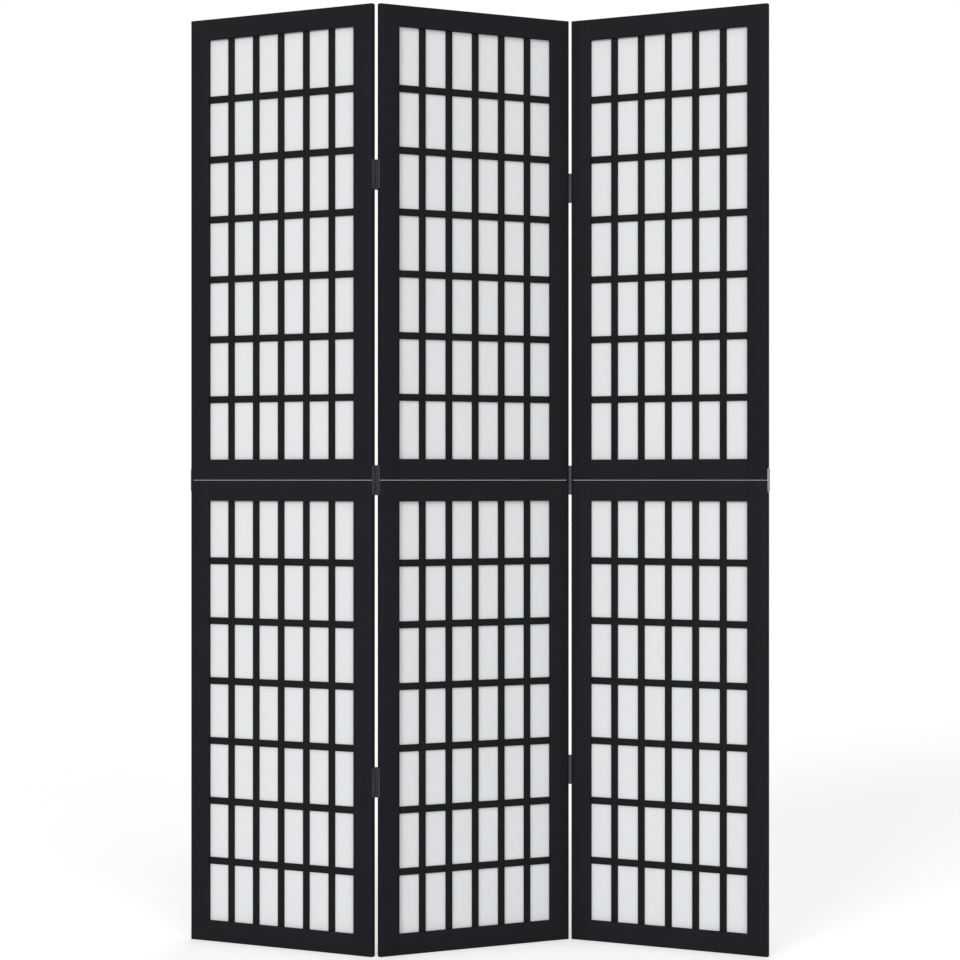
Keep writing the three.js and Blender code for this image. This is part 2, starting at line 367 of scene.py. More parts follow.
# %% [markdown]
# ## Matt black paint over softwood
#
# The picture shows an even matt black with no grain that can be made out. Edges that are seen at
# a grazing angle are as dark as the fronts, and a sheen would make them lighter. The frame is
# taken to be painted softwood, so a faint relief of growth rings is left under the paint for
# close views, too shallow to change the tone from a distance. The grain must follow each stick,
# whichever way it lies in the room, so every wooden piece carries its own coordinates in an
# attribute named `grain`, with z along the fibres.


# %% Lay the grain along a stick
def lay_grain(piece, seed):
    """Stores each point's place in the stick, shifted so that no two sticks share a pattern."""
    dice = random.Random(seed)
    shift = Vector([dice.uniform(-1, 1) for axis in range(3)])
    grain = piece.data.attributes.new("grain", "FLOAT_VECTOR", "POINT")
    for vert in piece.data.vertices:
        grain.data[vert.index].vector = vert.co + shift


# %% The paint
RING_SPACING = 2.2
GRAIN_STRETCH = 45
PAINT_SPECKLE = 0.5


def matt_black(name, deep, pale):
    """Matt black paint. deep and pale are the darkest and lightest tones that it shows."""
    material, tree, surface = new_material(name)
    place = node(tree, "ShaderNodeAttribute", {"attribute_name": "grain"}).outputs["Vector"]

    # Growth rings: lines about two millimetres apart, drawn out along the stick.
    along = node(
        tree, "ShaderNodeMapping", Vector=place, Scale=(1, 1, 1 / GRAIN_STRETCH)
    ).outputs["Vector"]
    rings = node(
        tree, "ShaderNodeTexNoise", Vector=along, Scale=1 / (RING_SPACING * MM), Detail=4,
        Roughness=0.55, Distortion=0.3,
    ).outputs["Fac"]
    # The spray's own texture: a fine orange peel, half a millimetre from bump to bump.
    peel = node(
        tree, "ShaderNodeTexNoise", Vector=place, Scale=1 / (PAINT_SPECKLE * MM), Detail=2
    ).outputs["Fac"]
    # Slow changes of tone, about a hand's width apart, where the coat is thicker or thinner.
    coat = node(
        tree, "ShaderNodeTexNoise", Vector=place, Scale=9, Detail=3, Roughness=0.6
    ).outputs["Fac"]

    tone = node(
        tree, "ShaderNodeMix", {"data_type": "FLOAT"}, Factor=0.35, A=coat, B=rings
    ).outputs["Result"]
    tree.links.new(ramp(tree, tone, 0.35, 0.65, (deep, pale)), surface.inputs["Base Color"])
    tree.links.new(scaled(tree, tone, 0.3, 0.7, 0.58, 0.66), surface.inputs["Roughness"])
    surface.inputs["Specular IOR Level"].default_value = 0.04

    relief = node(
        tree, "ShaderNodeBump", Strength=0.3, Distance=0.03 * MM, Height=rings
    ).outputs["Normal"]
    relief = node(
        tree, "ShaderNodeBump", Strength=0.25, Distance=0.02 * MM, Height=peel, Normal=relief
    ).outputs["Normal"]
    tree.links.new(relief, surface.inputs["Normal"])
    return material


frame_paint = matt_black("matt black paint on softwood", "#212024", "#232226")
slat_paint = matt_black("matt black paint on thin slats", "#1d1f21", "#1f2123")

# %% [markdown]
# ## Stiles
#
# A stile is an upright of the half frame. One is modelled upright from a plain bar, with its
# outer edge at x = 0: its outer edges are rounded and the others just broken, a groove for the
# paper is cut in its inner edge, and an open slot in each end for a rail's tenon. The corner
# joints hardly show in the picture, so the edges that meet there stay nearly sharp. The left and
# right stiles are the same stick turned round, so one model serves for all twelve. The screws'
# pilot holes are left out, because the hinge leaves and the plates cover them.

# %% Model one stile
EASE = 0.6
BROKEN_EDGE = 0.15
GROOVE = (6, 7)
GROOVE_DEPTH = 5
TENON = (3.5, 7.5)
TENON_LENGTH = 16
TENON_SHOULDER = 7
FIT = 0.05
OVERCUT = 2


def near(value, target):
    return abs(value - target) < 1e-3


def outer_edges(middle, direction):
    """The two edges along a stick on its outer side."""
    return abs(direction.z) > 0.99 and near(middle.x, 0)


def inner_edges(middle, direction):
    """The two edges along a stick on its inner side."""
    return abs(direction.z) > 0.99 and middle.x > RAIL_WIDTH / 2


def groove_paper(piece, width, low, high):
    """Cuts the paper's groove in the inner edge of a stick of this width."""
    carve(
        piece,
        block("groove", (width - GROOVE_DEPTH, GROOVE[0], low), (width + OVERCUT, GROOVE[1], high)),
    )


stile = block("stile", (0, 0, 0), (STILE_WIDTH, THICKNESS, HALF_HEIGHT))
ease(stile, EASE, 3, outer_edges)
ease(
    stile, BROKEN_EDGE, 2,
    lambda middle, direction: inner_edges(middle, direction)
    or near(middle.z, 0) or near(middle.z, HALF_HEIGHT),
)
groove_paper(
    stile, STILE_WIDTH, RAIL_WIDTH - GROOVE_DEPTH, HALF_HEIGHT - RAIL_WIDTH + GROOVE_DEPTH
)
slot_bottom = STILE_WIDTH - TENON_LENGTH - FIT
slot_reach = RAIL_WIDTH - TENON_SHOULDER + FIT
for low, high in ((-OVERCUT, slot_reach), (HALF_HEIGHT - slot_reach, HALF_HEIGHT + OVERCUT)):
    cutter = block(
        "slot",
        (slot_bottom, TENON[0] - FIT, low),
        (STILE_WIDTH + OVERCUT, TENON[1] + FIT, high),
    )
    carve(stile, cutter)
smooth(stile)
print("stile has", len(stile.data.polygons), "faces")

# %% [markdown]
# ## Rails
#
# A rail is the level member between two stiles. Its end faces are scored where the tenon starts,
# and that patch of each end is pushed out to make the tenon. The tenon is flush with the rail's
# outer edge. The picture doesn't show the joints, so this kind of corner is a joiner's guess.

# %% Model one rail
RAIL_LENGTH = OPENING_WIDTH - 2 * FIT

rail = block("rail", (0, 0, 0), (RAIL_WIDTH, THICKNESS, RAIL_LENGTH))
ease(rail, EASE, 3, outer_edges)
ease(rail, BROKEN_EDGE, 2, inner_edges)
groove_paper(rail, RAIL_WIDTH, -OVERCUT, RAIL_LENGTH + OVERCUT)
score(rail, "y", TENON)
score(rail, "x", (RAIL_WIDTH - TENON_SHOULDER,))
for end, outward in ((0, -1), (RAIL_LENGTH, 1)):
    push(
        rail, (0, 0, outward * (TENON_LENGTH + FIT)),
        lambda middle, direction: near(middle.z, end)
        and TENON[0] < middle.y < TENON[1]
        and middle.x < RAIL_WIDTH - TENON_SHOULDER,
    )
smooth(rail)
print("rail has", len(rail.data.polygons), "faces")

# %% [markdown]
# ## Four sticks to a half frame
#
# The stick was modelled with x pointing from its outer edge to its inner edge. Turned about the
# y axis by a quarter turn at a time, it becomes the left stile, the top rail, the right stile
# and the bottom rail, always with the groove facing inwards and the front face in front.

# %% Copy the sticks into the six half frames
MEMBERS = {
    "left_stile": (stile, 0, (0, 0)),
    "right_stile": (stile, math.pi, (PANEL_WIDTH, HALF_HEIGHT)),
    "bottom_rail": (rail, -math.pi / 2, (PANEL_WIDTH - STILE_WIDTH - FIT, 0)),
    "top_rail": (rail, math.pi / 2, (STILE_WIDTH + FIT, HALF_HEIGHT)),
}

for panel, place in PLACES.items():
    for half, floor in HALVES.items():
        for member, (model, turn, (x, z)) in MEMBERS.items():
            name = f"{panel}_{half}_{member}"
            stick = copy_of(model, name + "_look")
            lay_grain(stick, name)
            in_panel = Matrix.Translation(Vector((x, 0, z + floor)) * MM)
            carry(stick, place @ in_panel @ Matrix.Rotation(turn, 4, "Y"))
            stand_in(stick, name, panel, frame_paint)

for model in (stile, rail):
    bpy.data.objects.remove(model)
print("largest misfit of the members", round(max(misfits.values()), 3), "mm")

# %% [markdown]
# ## Slats
#
# The slats' fronts are flush where they cross, so they are taken to be half lapped: an upright
# has notches in its back half and a level one in its front half. Seen from the side, a slat is a
# long rectangle with square bites out of one edge. It is modelled that way: a flat face is scored
# into cells, the cells of the bites are deleted, and the rest is extruded to the slat's width.

# %% Model one upright and one level slat
COLUMNS = 6
ROWS = 7
SLAT_WIDTH = 12.25
SLAT_THICKNESS = 3
LATTICE_RECESS = 3
SLAT_END_GAP = 0.3
END_ROW_EXTRA = 6
LAP_GAP = 0.05
SLAT_EASE = 0.3

CELL_WIDTH = (OPENING_WIDTH - (COLUMNS - 1) * SLAT_WIDTH) / COLUMNS
CELL_HEIGHT = (OPENING_HEIGHT - (ROWS - 1) * SLAT_WIDTH - 2 * END_ROW_EXTRA) / ROWS

uprights_at = [
    STILE_WIDTH + column * CELL_WIDTH + (column - 1) * SLAT_WIDTH
    for column in range(1, COLUMNS)
]
levels_at = [
    RAIL_WIDTH + END_ROW_EXTRA + row * CELL_HEIGHT + (row - 1) * SLAT_WIDTH
    for row in range(1, ROWS)
]


def slat(name, length, crossings, notch_in_front):
    """A slat along z, its front at y = 0, with a notch for each slat that it crosses."""
    half = SLAT_THICKNESS / 2
    notches = [(start - LAP_GAP, start + SLAT_WIDTH + LAP_GAP) for start in crossings]
    bpy.ops.object.select_all(action="DESELECT")
    bpy.ops.mesh.primitive_plane_add(size=1, rotation=(0, math.pi / 2, 0))
    bpy.context.object.scale = (length * MM, SLAT_THICKNESS * MM, 1)
    bpy.context.object.location = Vector((0, half, length / 2)) * MM
    piece = settle(name)
    lap = half + LAP_GAP if notch_in_front else half - LAP_GAP
    score(piece, "y", (lap,))
    score(piece, "z", [edge for notch in notches for edge in notch])

    def bitten(middle, direction):
        beyond = middle.y < lap if notch_in_front else middle.y > lap
        return beyond and any(low < middle.z < high for low, high in notches)

    pick(piece, "faces", bitten)
    bpy.ops.mesh.delete(type="FACE")
    close_edit()
    push(piece, (SLAT_WIDTH, 0, 0), lambda middle, direction: True)
    pick(piece, "faces", lambda middle, direction: True)
    bpy.ops.mesh.normals_make_consistent(inside=False)
    bpy.ops.mesh.dissolve_limited(angle_limit=math.radians(1))
    close_edit()
    apply_modifier(
        piece, "BEVEL", width=SLAT_EASE * MM, segments=2, limit_method="ANGLE",
        angle_limit=math.radians(40),
    )
    smooth(piece)
    return piece


upright_length = OPENING_HEIGHT - 2 * SLAT_END_GAP
level_length = OPENING_WIDTH - 2 * SLAT_END_GAP
upright = slat(
    "upright", upright_length, [z - RAIL_WIDTH - SLAT_END_GAP for z in levels_at], False
)
level = slat(
    "level", level_length, [x - STILE_WIDTH - SLAT_END_GAP for x in uprights_at], True
)
print("upright has", len(upright.data.polygons), "faces, level has", len(level.data.polygons))

# %% [markdown]
# ## Lattices
#
# Five uprights and six level slats make one lattice. A level slat is the model turned on its
# side, so that its length runs along x and its notches still face the front.

# %% Copy the slats into six lattices
lie_down = Matrix.Rotation(math.pi / 2, 4, "Y")

for panel, place in PLACES.items():
    for half, floor in HALVES.items():
        name = f"{panel}_{half}_lattice"
        slats = []
        for x in uprights_at:
            piece = copy_of(upright, f"{name}_upright")
            lay_grain(piece, f"{name} upright {x}")
            z = floor + RAIL_WIDTH + SLAT_END_GAP
            carry(piece, Matrix.Translation(Vector((x, LATTICE_RECESS, z)) * MM))
            slats.append(piece)
        for z in levels_at:
            piece = copy_of(level, f"{name}_level")
            lay_grain(piece, f"{name} level {z}")
            corner = (STILE_WIDTH + SLAT_END_GAP, LATTICE_RECESS, floor + z + SLAT_WIDTH)
            carry(piece, Matrix.Translation(Vector(corner) * MM) @ lie_down)
            slats.append(piece)
        lattice = join(name + "_look", *slats)
        carry(lattice, place)
        stand_in(lattice, name, panel, slat_paint)

for model in (upright, level):
    bpy.data.objects.remove(model)
print("largest misfit so far", round(max(misfits.values()), 3), "mm")

# %% [markdown]
# ## Paper
#
# The panes look an even white in the picture. Thin paper scatters light both ways: most of it
# comes back and some goes through, so the lattice shows faintly from behind. Fibres can't be seen
# at the picture's size, and paper of this kind usually has some, so they are kept very faint and
# only tell in close views. They are thin winding lines where a noise crosses its middle value.

# %% The paper's material
FIBRE_LENGTH = 14
FIBRE_THICKNESS = 0.35
FIBRE_STRENGTH = 0.2
SHOWS_THROUGH = 0.12


def fibres(tree, place, angle, seed):
    """Thin winding lines that lie mostly at one angle across the sheet."""
    turned = node(
        tree, "ShaderNodeMapping", Vector=place, Location=(seed, seed, seed),
        Rotation=(0, 0, math.radians(angle)),
    ).outputs["Vector"]
    bent = node(
        tree, "ShaderNodeTexNoise", Vector=turned, Scale=1 / (FIBRE_LENGTH * MM), Detail=1,
        Distortion=1.5,
    ).outputs["Fac"]
    distance = node(
        tree, "ShaderNodeMath", {"operation": "SUBTRACT"}, _0=bent, _1=0.5
    ).outputs["Value"]
    distance = node(tree, "ShaderNodeMath", {"operation": "ABSOLUTE"}, _0=distance).outputs["Value"]
    width = FIBRE_THICKNESS / FIBRE_LENGTH
    line = scaled(tree, distance, 0, width, 1, 0)
    broken = node(
        tree, "ShaderNodeTexNoise", Vector=turned, Scale=2.2 / (FIBRE_LENGTH * MM)
    ).outputs["Fac"]
    gate = scaled(tree, broken, 0.52, 0.6, 0, 1)
    return node(tree, "ShaderNodeMath", {"operation": "MULTIPLY"}, _0=line, _1=gate).outputs["Value"]


def white_paper():
    material, tree, surface = new_material("white fibre paper")
    place = node(tree, "ShaderNodeAttribute", {"attribute_name": "sheet"}).outputs["Vector"]
    pulp = fibres(tree, place, 20, 0.0)
    for angle, seed in ((75, 3.1), (-40, 7.7)):
        more = fibres(tree, place, angle, seed)
        pulp = node(tree, "ShaderNodeMath", {"operation": "MAXIMUM"}, _0=pulp, _1=more).outputs["Value"]
    # Clouds in the pulp, a centimetre or two across, as held up to a window.
    clouds = node(
        tree, "ShaderNodeTexNoise", Vector=place, Scale=60, Detail=5, Roughness=0.6
    ).outputs["Fac"]
    tone = ramp(tree, clouds, 0.3, 0.7, ("#f1f3f5", "#f3f5f7"))
    faint = node(
        tree, "ShaderNodeMath", {"operation": "MULTIPLY"}, _0=pulp, _1=FIBRE_STRENGTH
    ).outputs["Value"]
    colour = node(
        tree, "ShaderNodeMix", {"data_type": "RGBA", "blend_type": "MIX"},
        _0=faint, _6=tone, _7=linear("#f6f7f8"),
    ).outputs[2]
    tree.links.new(colour, surface.inputs["Base Color"])
    surface.inputs["Roughness"].default_value = 0.85
    surface.inputs["Specular IOR Level"].default_value = 0.2

    tooth = node(
        tree, "ShaderNodeTexNoise", Vector=place, Scale=1 / (0.4 * MM), Detail=3
    ).outputs["Fac"]
    height = node(
        tree, "ShaderNodeMath", {"operation": "MULTIPLY_ADD"}, _0=pulp, _1=1.2, _2=tooth
    ).outputs["Value"]
    bump = node(tree, "ShaderNodeBump", Strength=0.3, Distance=0.03 * MM, Height=height)
    tree.links.new(bump.outputs["Normal"], surface.inputs["Normal"])

    through = node(
        tree, "ShaderNodeBsdfTranslucent", Color=colour, Normal=bump.outputs["Normal"]
    ).outputs["BSDF"]
    sheet = node(
        tree, "ShaderNodeMixShader", Fac=SHOWS_THROUGH, _1=surface.outputs["BSDF"], _2=through
    ).outputs["Shader"]
    show(tree, sheet)
    return material


paper_material = white_paper()

# %% [markdown]
# ## Panes
#
# A pane starts as a grid. Paper that was glued damp dries tight, but it still dishes a little
# between the slats, so each point sinks backwards by up to a fifth of a millimetre where it is
# far from the nearest slat. Solidify then gives the sheet its thickness.

# %% Model one pane
PAPER_INSERT = 4
PAPER_FRONT = 6.15
PAPER_THICKNESS = 0.2
PAPER_DISH = 0.2
PAPER_PITCH = 6

PAPER_WIDTH = OPENING_WIDTH + 2 * PAPER_INSERT
PAPER_HEIGHT = OPENING_HEIGHT + 2 * PAPER_INSERT


def dish(place, starts, cell):
    """How far a point is from the slats on one axis: 0 on a slat, 1 in the middle of a cell."""
    for start in starts:
        if start < place < start + cell:
            return math.sin(math.pi * (place - start) / cell)
    return 0


cell_starts_x = [STILE_WIDTH] + [x + SLAT_WIDTH for x in uprights_at]
cell_starts_z = [z + SLAT_WIDTH for z in levels_at[:-1]]

bpy.ops.object.select_all(action="DESELECT")
bpy.ops.mesh.primitive_grid_add(
    x_subdivisions=round(PAPER_WIDTH / PAPER_PITCH),
    y_subdivisions=round(PAPER_HEIGHT / PAPER_PITCH),
    size=1,
    rotation=(math.pi / 2, 0, 0),
)
bpy.context.object.scale = (PAPER_WIDTH * MM, PAPER_HEIGHT * MM, 1)
bpy.context.object.location = Vector(
    (PANEL_WIDTH / 2, PAPER_FRONT, HALF_HEIGHT / 2)
) * MM
pane = settle("pane")
sheet_place = pane.data.attributes.new("sheet", "FLOAT_VECTOR", "POINT")
for vert in pane.data.vertices:
    sheet_place.data[vert.index].vector = (vert.co.x, vert.co.z, 0)
    x, z = vert.co.x / MM, vert.co.z / MM
    sink = dish(x, cell_starts_x, CELL_WIDTH) * dish(z, cell_starts_z, CELL_HEIGHT)
    vert.co.y += PAPER_DISH * sink * MM
apply_modifier(pane, "SOLIDIFY", thickness=PAPER_THICKNESS * MM, offset=-1)
smooth(pane)
front = min(vert.co.y for vert in pane.data.vertices) / MM
back = max(vert.co.y for vert in pane.data.vertices) / MM
print("pane lies from", round(front, 2), "to", round(back, 2), "mm behind the frame's front")

# %% Copy the pane into the six half frames
for number, (panel, place) in enumerate(PLACES.items()):
    for half, floor in HALVES.items():
        name = f"{panel}_{half}_paper"
        sheet = copy_of(pane, name + "_look")
        shift = Vector((number, floor * MM, 0))
        for spot in sheet.data.attributes["sheet"].data:
            spot.vector = Vector(spot.vector) + shift
        carry(sheet, place @ Matrix.Translation((0, 0, floor * MM)))
        stand_in(sheet, name, panel, paper_material)
bpy.data.objects.remove(pane)

# %% [markdown]
# ## Dark steel and bright zinc
#
# The hinges show as a dark grey between the black edges, where bare metal would mirror the black
# and vanish, so they are taken to be painted. The tie plates are bright bare metal, taken
# to be zinc plated, and their colour is the colour of their reflection. Fine scratches and a
# faint mottle keep both from looking like flat grey in close views.


# %% The two metals
def worked_metal(name, bare, dark, light, smooth_end, rough_end, scratch_pitch):
    """A metal, bare (1) or painted (0), with a wandering tone and fine scratches."""
    material, tree, surface = new_material(name)
    place = node(tree, "ShaderNodeTexCoord").outputs["Object"]
    mottle = node(
        tree, "ShaderNodeTexNoise", Vector=place, Scale=1 / (3 * MM), Detail=4, Roughness=0.6
    ).outputs["Fac"]
    drawn = node(tree, "ShaderNodeMapping", Vector=place, Scale=(1, 1, 0.04)).outputs["Vector"]
    scratches = node(
        tree, "ShaderNodeTexNoise", Vector=drawn, Scale=1 / (scratch_pitch * MM), Detail=3
    ).outputs["Fac"]
    tree.links.new(ramp(tree, mottle, 0.3, 0.7, (dark, light)), surface.inputs["Base Color"])
    blend = node(
        tree, "ShaderNodeMix", {"data_type": "FLOAT"}, Factor=0.5, A=mottle, B=scratches
    ).outputs["Result"]
    tree.links.new(
        scaled(tree, blend, 0.35, 0.65, smooth_end, rough_end), surface.inputs["Roughness"]
    )
    surface.inputs["Metallic"].default_value = bare
    if not bare:
        # Matt paint: a leaf that is seen at a slant stays nearly as dark as the frame.
        surface.inputs["Specular IOR Level"].default_value = 0.1
    bump = node(tree, "ShaderNodeBump", Strength=0.3, Distance=0.01 * MM, Height=scratches)
    tree.links.new(bump.outputs["Normal"], surface.inputs["Normal"])
    return material


dark_steel = worked_metal("dark grey painted steel", 0, "#4a494e", "#525157", 0.5, 0.6, 0.2)
zinc = worked_metal("zinc plated steel", 1, "#b0b2b6", "#bcbec1", 0.28, 0.42, 0.25)

# %% [markdown]
# ## Screws
#
# All the screws are countersunk cross-head wood screws, and only their heads show. A head is a
# short cylinder whose lower face is drawn in to the shank, with a cross cut out of its top and a
# slight ease round its rim.

# %% Model one screw, head up along z with its top at 0
SCREW_HEAD = 2.4
SCREW_SHANK = 1.4
SCREW_LENGTH = 16
SCREW_POINT = 4
CROSS = (0.8, 3.2, 0.9)

screw = rod("screw", SCREW_HEAD, SCREW_SHANK - SCREW_HEAD, 0)
pick(screw, "faces", lambda middle, direction: direction.z < -0.99)
bpy.ops.transform.resize(value=(SCREW_SHANK / SCREW_HEAD,) * 2 + (1,))
close_edit()
shank_end = SCREW_POINT - SCREW_LENGTH
push(
    screw, (0, 0, shank_end - (SCREW_SHANK - SCREW_HEAD)),
    lambda middle, direction: direction.z < -0.99,
)
pick(screw, "faces", lambda middle, direction: direction.z < -0.99)
bpy.ops.mesh.extrude_region_move(TRANSFORM_OT_translate={"value": (0, 0, -SCREW_POINT * MM)})
bpy.ops.mesh.merge(type="CENTER")
close_edit()
ease(
    screw, 0.12, 2,
    lambda middle, direction: near(middle.z, 0) and abs(direction.z) < 0.01,
)
width, length, depth = CROSS
for x, y in ((width / 2, length / 2), (length / 2, width / 2)):
    carve(screw, block("cross", (-x, -y, -depth), (x, y, OVERCUT)))
smooth(screw)
print("screw has", len(screw.data.polygons), "faces")


# %% A countersink for a screw
COUNTERSINK_DEPTH = 3
COUNTERSINK_ABOVE = 1  # The cutter stands this far out of the surface, so that it cuts cleanly.


def countersink(piece, place, tip, rim):
    """Cuts a cone for a screw head into a piece. tip and rim are the cutter's end radii."""
    bpy.ops.object.select_all(action="DESELECT")
    bpy.ops.mesh.primitive_cone_add(
        vertices=32, radius1=tip * MM, radius2=rim * MM, depth=COUNTERSINK_DEPTH * MM,
        location=(0, 0, (COUNTERSINK_ABOVE - COUNTERSINK_DEPTH / 2) * MM),
    )
    sink = settle("sink")
    carry(sink, place)
    carve(piece, sink)


# %% [markdown]
# ## Hinge leaves
#
# A butt hinge's leaf is stamped from sheet steel. Its tabs are swept sideways and rolled round
# the pin, so a knuckle is a spiral with a visible slit and not a closed ring. The plate is a
# thin block with rounded far corners. The end face of each tab is picked and spun twice: first
# through the short reverse bend, then nearly all the way round the pin.

# %% Model the two leaves, pin on the z axis, plate along +y
HINGE_HEIGHT = 50.8
LEAF_GAP = 0.2
LEAF_THICKNESS = 0.7
LEAF_NEAR = 3.3
LEAF_WIDTH = 10.4
LEAF_CORNER = 1.5
BARREL_RADIUS = 2.95
KNUCKLES = 5
KNUCKLE_GAP = 0.3
PIN_RADIUS = 1.8
HINGE_SCREW_SPACING = 38
ROLL_END = 95

sheet_middle = LEAF_GAP / 2 + LEAF_THICKNESS / 2
roll_radius = BARREL_RADIUS - LEAF_THICKNESS / 2
knuckle_height = (HINGE_HEIGHT - (KNUCKLES - 1) * KNUCKLE_GAP) / KNUCKLES

# The reverse bend touches the plate's middle line at LEAF_NEAR and the roll's middle line.
bend_radius = (sheet_middle**2 + LEAF_NEAR**2 - roll_radius**2) / (
    2 * (roll_radius - sheet_middle)
)
bend_centre = Vector((sheet_middle + bend_radius, LEAF_NEAR, 0))
bend_angle = math.atan2(bend_centre.y, bend_centre.x)
roll_angle = bend_angle + 2 * math.pi - math.radians(ROLL_END)


def spin_on(angle, centre, steps):
    """Sweeps the selected faces round an axis along z, and leaves the far faces selected.

    The operator turns clockwise for a positive angle, and this turns anticlockwise.
    """
    bpy.ops.mesh.spin(steps=steps, angle=-angle, center=centre * MM, axis=(0, 0, 1))


def leaf(name, first_knuckle):
    """A leaf with every other knuckle, from the first one up."""
    near_face, far_face = LEAF_GAP / 2, LEAF_GAP / 2 + LEAF_THICKNESS
    half = HINGE_HEIGHT / 2
    piece = block(name, (near_face, LEAF_NEAR, -half), (far_face, LEAF_NEAR + LEAF_WIDTH, half))
    ease(
        piece, LEAF_CORNER, 6,
        lambda middle, direction: abs(direction.x) > 0.99 and middle.y > LEAF_WIDTH,
    )
    spans = []
    for knuckle in range(KNUCKLES):
        start = knuckle * (knuckle_height + KNUCKLE_GAP) - half
        spans.append((start, start + knuckle_height))
    own = spans[first_knuckle::2]
    cuts = {edge for span in own for edge in span if abs(edge) < half - 0.01}
    score(piece, "z", sorted(cuts))

    pick(
        piece, "faces",
        lambda middle, direction: direction.y < -0.99
        and any(low < middle.z < high for low, high in own),
    )
    spin_on(bend_angle, bend_centre, 4)
    spin_on(-roll_angle, Vector(), 26)
    bpy.ops.mesh.select_all(action="SELECT")
    bpy.ops.mesh.normals_make_consistent(inside=False)
    close_edit()
    return piece


def finish_leaf(piece):
    """Softens a leaf's edges, sinks the screw holes and sets the two screws."""
    apply_modifier(
        piece, "BEVEL", width=0.15 * MM, segments=2, limit_method="ANGLE",
        angle_limit=math.radians(50),
    )
    turn = Matrix.Rotation(-math.pi / 2, 4, "Y")
    screws = []
    for side in (-1, 1):
        seat = Vector((LEAF_GAP / 2, PIN_FROM_FACE + THICKNESS / 2, side * HINGE_SCREW_SPACING / 2))
        place = Matrix.Translation(seat * MM) @ turn
        countersink(piece, place, 0.5, 3.5)
        fixing = copy_of(screw, "fixing")
        carry(fixing, place @ Matrix.Rotation(math.radians(35 * side + 20), 4, "Z"))
        screws.append(fixing)
    smooth(piece, 30)
    return join(piece.name, piece, *screws)


LEAVES = {
    "middle_leaf": finish_leaf(leaf("middle_leaf", 0)),
    "side_leaf": finish_leaf(leaf("side_leaf", 1)),
}
for name, piece in LEAVES.items():
    print(name, "has", len(piece.data.polygons), "faces")

# %% [markdown]
# ## Hinge pins
#
# A pin is a steel wire with its two ends headed over so that it can't drop out. It starts as a
# cylinder, and each end is drawn out sideways into a low head and then closed with a dome.

# %% Model one pin
PIN_HEAD = 2.5
PIN_HEAD_HEIGHT = 0.5

seat = HINGE_HEIGHT / 2 + KNUCKLE_GAP
pin = rod("pin", PIN_RADIUS, -seat, seat)
for outward in (-1, 1):
    pick(
        pin, "faces",
        lambda middle, direction: direction.z * outward > 0.99 and near(middle.z, outward * seat),
    )
    spread = PIN_HEAD / PIN_RADIUS
    bpy.ops.mesh.extrude_region_move(TRANSFORM_OT_translate={"value": (0, 0, 0)})
    bpy.ops.transform.resize(value=(spread, spread, 1))
    bpy.ops.mesh.extrude_region_move(
        TRANSFORM_OT_translate={"value": (0, 0, outward * PIN_HEAD_HEIGHT * MM)}
    )
    close_edit()
ease(
    pin, 0.35, 4,
    lambda middle, direction: abs(middle.z) > seat + 0.9 * PIN_HEAD_HEIGHT
    and abs(direction.z) < 0.01,
)
smooth(pin)

# %% [markdown]
# ## Six hinges
#
# Three hinges join each pair of panels, one across the seam and one towards each end. The two
# joints' end hinges sit a few millimetres apart in height, as measured in the picture.
# Both leaves and the pin are modelled with the pin on the z axis, so a hinge goes into a panel
# by one half turn that points its plate into the panel's edge.

# %% Copy the hinges into the two joints
HINGE_HEIGHTS = {
    "left": {"bottom": 301, "seam": PANEL_HEIGHT / 2, "top": PANEL_HEIGHT - 295},
    "right": {"bottom": 305.5, "seam": PANEL_HEIGHT / 2, "top": PANEL_HEIGHT - 300.5},
}
HALF_TURNS = {axis: Matrix.Rotation(math.pi, 4, axis) for axis in "XYZ"}
JOINTS = {
    "left": {
        "middle": ((-PIN_FROM_EDGE, BEHIND), HALF_TURNS["X"]),
        "side": ((PANEL_WIDTH + PIN_FROM_EDGE, BEHIND), HALF_TURNS["Z"]),
    },
    "right": {
        "middle": ((PANEL_WIDTH + PIN_FROM_EDGE, -PIN_FROM_FACE), HALF_TURNS["Y"]),
        "side": ((-PIN_FROM_EDGE, -PIN_FROM_FACE), Matrix.Identity(4)),
    },
}

for side, joint in JOINTS.items():
    for level_name, height in HINGE_HEIGHTS[side].items():
        for role, ((x, y), turn) in joint.items():
            panel = "middle" if role == "middle" else side
            name = f"{side}_joint_{level_name}_hinge_{role}_leaf"
            in_panel = Matrix.Translation(Vector((x, y, height)) * MM)
            half_hinge = copy_of(LEAVES[f"{role}_leaf"], name + "_look")
            carry(half_hinge, PLACES[panel] @ in_panel @ turn)
            stand_in(half_hinge, name, panel, dark_steel)
            if role == "middle":
                name = f"{side}_joint_{level_name}_hinge_pin"
                wire = copy_of(pin, name + "_look")
                carry(wire, PLACES[panel] @ in_panel)
                stand_in(wire, name, panel, dark_steel)

for model in (pin, *LEAVES.values()):
    bpy.data.objects.remove(model)
print("largest misfit so far", round(max(misfits.values()), 3), "mm")

# %% [markdown]
# ## Tie plates
#
# On the right free edge a flat plate with round ends spans the seam. The left free edge can't be
# seen, and is taken to have the same. The picture's outline hardly moves at the plate, so the
# real one is probably let in flush, while this one lies on the edge. A plate is a block whose
# corners are bevelled so far that its ends become half circles, with its rim eased and two
# countersinks cut by cones. Its screws are the same screw again.

# %% Model one plate, its back on x = 0
PLATE_HEIGHT = 44.5
PLATE_WIDTH = 10
PLATE_THICKNESS = 1
PLATE_SCREW_SPACING = 33
PLATE_SEAT = 0.25

